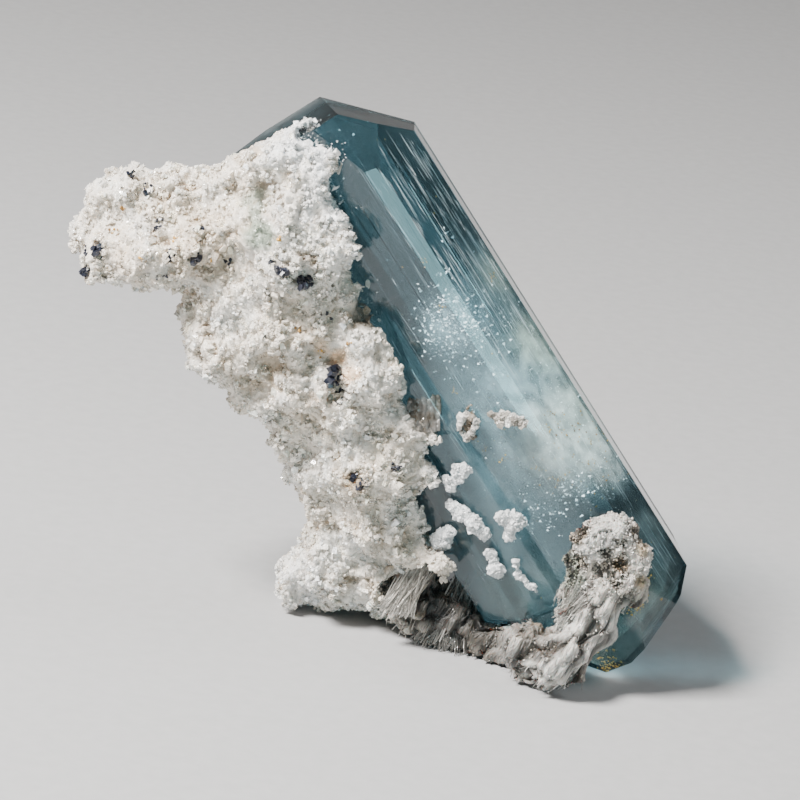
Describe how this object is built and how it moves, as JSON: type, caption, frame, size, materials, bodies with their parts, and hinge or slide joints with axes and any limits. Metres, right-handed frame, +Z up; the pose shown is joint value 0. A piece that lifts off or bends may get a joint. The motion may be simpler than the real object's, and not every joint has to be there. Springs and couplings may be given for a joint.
{
  "type": "aquamarine crystal specimen",
  "caption": "Natural specimen: a large six-sided aquamarine crystal leaning out of a sugary white albite matrix with bladed albite at its foot, resting on its feet.",
  "frame": {"origin": "middle of the specimen's base, on the surface that it rests on", "axes": "+Z up as it rests, +X to the right of the display face, -Y towards the viewer of the display face"},
  "size_m": [0.082, 0.0328, 0.0686],
  "materials": {
    "aquamarine": "clear teal-blue beryl, glossy faces with fine lengthwise striations, milky veils inside",
    "albite": "sugary white to cream albite grains, slightly translucent, with glinting grain faces",
    "bladed_albite": "white to grey bladed albite with a silky lengthwise grain",
    "stained_crust": "white crust stained tan and grey",
    "dark_mineral": "blue-black vitreous crystal faces"
  },
  "bodies": {
    "root": {"aquamarine_crystal": "aquamarine", "albite_matrix": "albite", "cleavelandite": "bladed_albite", "albite_rosette_1": "albite", "albite_rosette_2": "albite", "albite_rosette_3": "albite", "albite_rosette_4": "albite", "albite_rosette_5": "albite", "albite_rosette_6": "albite", "crust_fragment_1": "stained_crust", "crust_fragment_2": "stained_crust", "dark_crystal_1": "dark_mineral", "dark_crystal_2": "dark_mineral", "dark_crystal_3": "dark_mineral", "dark_crystal_4": "dark_mineral", "dark_crystal_5": "dark_mineral", "dark_crystal_6": "dark_mineral", "dark_crystal_7": "dark_mineral"}
  },
  "joints": []
}
